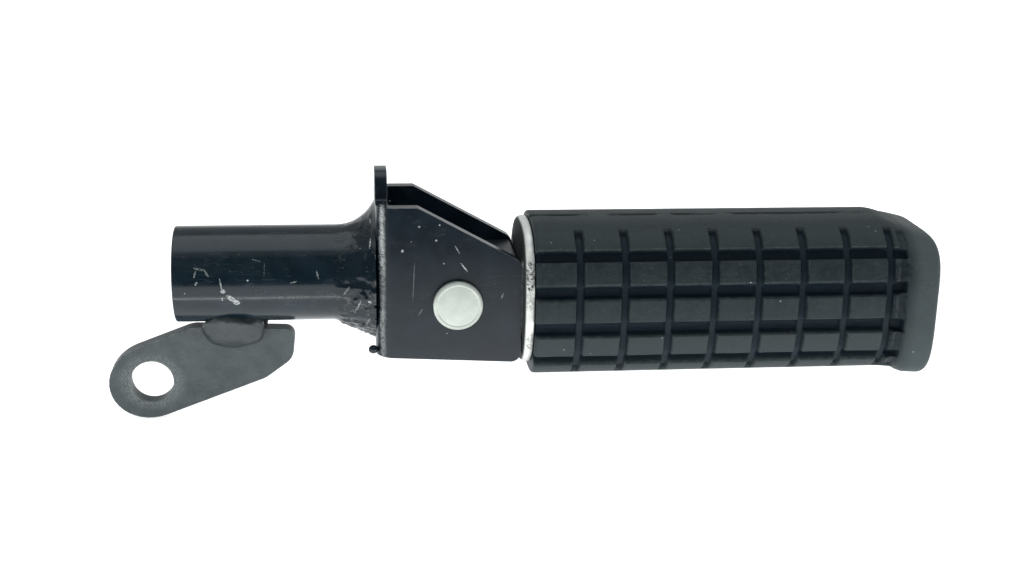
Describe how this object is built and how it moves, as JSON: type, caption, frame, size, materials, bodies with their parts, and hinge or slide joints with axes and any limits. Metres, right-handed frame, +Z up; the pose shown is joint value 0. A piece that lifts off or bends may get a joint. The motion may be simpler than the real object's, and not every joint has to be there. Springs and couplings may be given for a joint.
{
  "type": "motorcycle folding foot peg",
  "caption": "Folding foot peg: a clamp-on tube with a locating arm and a bent steel clevis carries a rubber-covered step on a hinge pin.",
  "frame": {"origin": "centre of the tube's open end, on the tube's axis", "axes": "+X along the tube from its open end to the step, +Y away from the pin's head towards its tail, +Z up"},
  "size_m": [0.2214, 0.0404, 0.068],
  "materials": {
    "gloss_black_paint": "gloss black paint, scratched",
    "dark_phosphate_steel": "thin satin dark coat on flat steel",
    "zinc_plate": "bright zinc plate",
    "black_paint_inner": "satin black paint",
    "black_rubber": "moulded matt black rubber"
  },
  "bodies": {
    "bracket": {"mount_tube": "gloss_black_paint", "clevis_bracket": "gloss_black_paint", "tube_weld": "gloss_black_paint", "locating_arm": "dark_phosphate_steel", "arm_weld": "dark_phosphate_steel", "hinge_pin": "zinc_plate", "pin_washer": "zinc_plate", "split_pin": "zinc_plate"},
    "peg": {"peg_lug": "black_paint_inner", "peg_bar": "black_paint_inner", "bar_end_plate": "black_paint_inner", "stop_plate": "zinc_plate", "rubber_cover": "black_rubber"}
  },
  "joints": [
    {"name": "peg_fold", "type": "hinge", "parent": "bracket", "child": "peg", "pos_m": [0.0734, 0, -0.00525], "axis": [0, -1, 0], "range_deg": [0, 56]}
  ]
}
